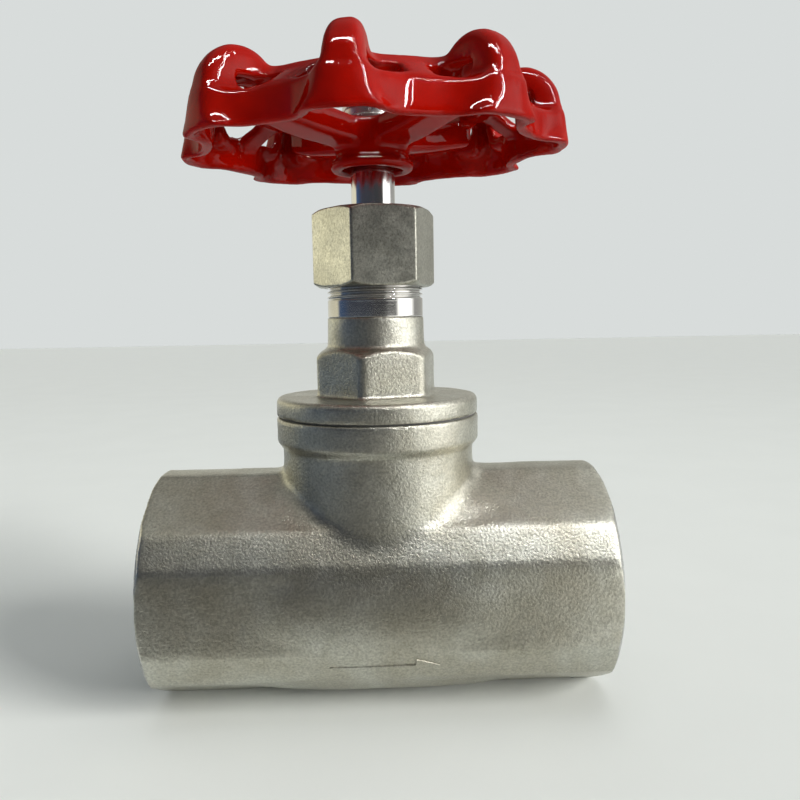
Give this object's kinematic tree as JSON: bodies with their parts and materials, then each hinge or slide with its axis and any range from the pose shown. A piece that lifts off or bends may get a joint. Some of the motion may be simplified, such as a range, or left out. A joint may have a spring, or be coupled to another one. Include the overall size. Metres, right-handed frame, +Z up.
{
  "type": "globe valve",
  "caption": "Screwed-end stainless globe valve with hexagonal body ends, a screwed bonnet, a rising stem in a packed gland and a lobed red handwheel.",
  "frame": {"origin": "middle of the underside: on the lowest bevel of the hexagonal body, straight below the stem axis", "axes": "+Z up along the stem, +X along the pipe axis in the direction of the flow arrow, -Y towards the side with the arrow"},
  "size_m": [0.14, 0.1192, 0.1934],
  "materials": {
    "cast_stainless": "matte",
    "machined_stainless": "satin",
    "milled_stainless": "satin",
    "polished_stainless": "gloss",
    "plated_steel": "satin",
    "red_enamel": "gloss",
    "ptfe": "matte"
  },
  "bodies": {
    "valve_body": {"body": "cast_stainless", "bonnet": "cast_stainless", "bonnet_gasket": "ptfe", "packing_nut": "milled_stainless", "packing_gland": "machined_stainless", "packing_support_washer": "machined_stainless", "packing_bottom_adapter": "ptfe", "packing_ring_1": "ptfe", "packing_ring_2": "ptfe", "packing_ring_3": "ptfe", "packing_top_adapter": "ptfe"},
    "disc": {"disc_carrier": "machined_stainless", "disc_swivel_nut": "machined_stainless", "seat_disc": "ptfe", "seat_disc_washer": "machined_stainless", "seat_disc_nut": "machined_stainless"},
    "stem": {"stem": "polished_stainless", "handwheel": "red_enamel", "wheel_washer": "plated_steel", "wheel_spring_washer": "plated_steel", "wheel_nut": "plated_steel"}
  },
  "joints": [
    {"name": "stem_lift", "type": "slide", "parent": "valve_body", "child": "disc", "axis": [0, 0, 1], "range_m": [0, 0.0135]},
    {"name": "handwheel_turn", "type": "hinge", "parent": "disc", "child": "stem", "pos_m": [0, 0, 0.05536], "axis": [0, 0, 1], "range_deg": [0, 1620]}
  ],
  "couplings": [
    {"joint": "stem_lift", "follows": "handwheel_turn", "m_per_rad": 0.00047746}
  ]
}
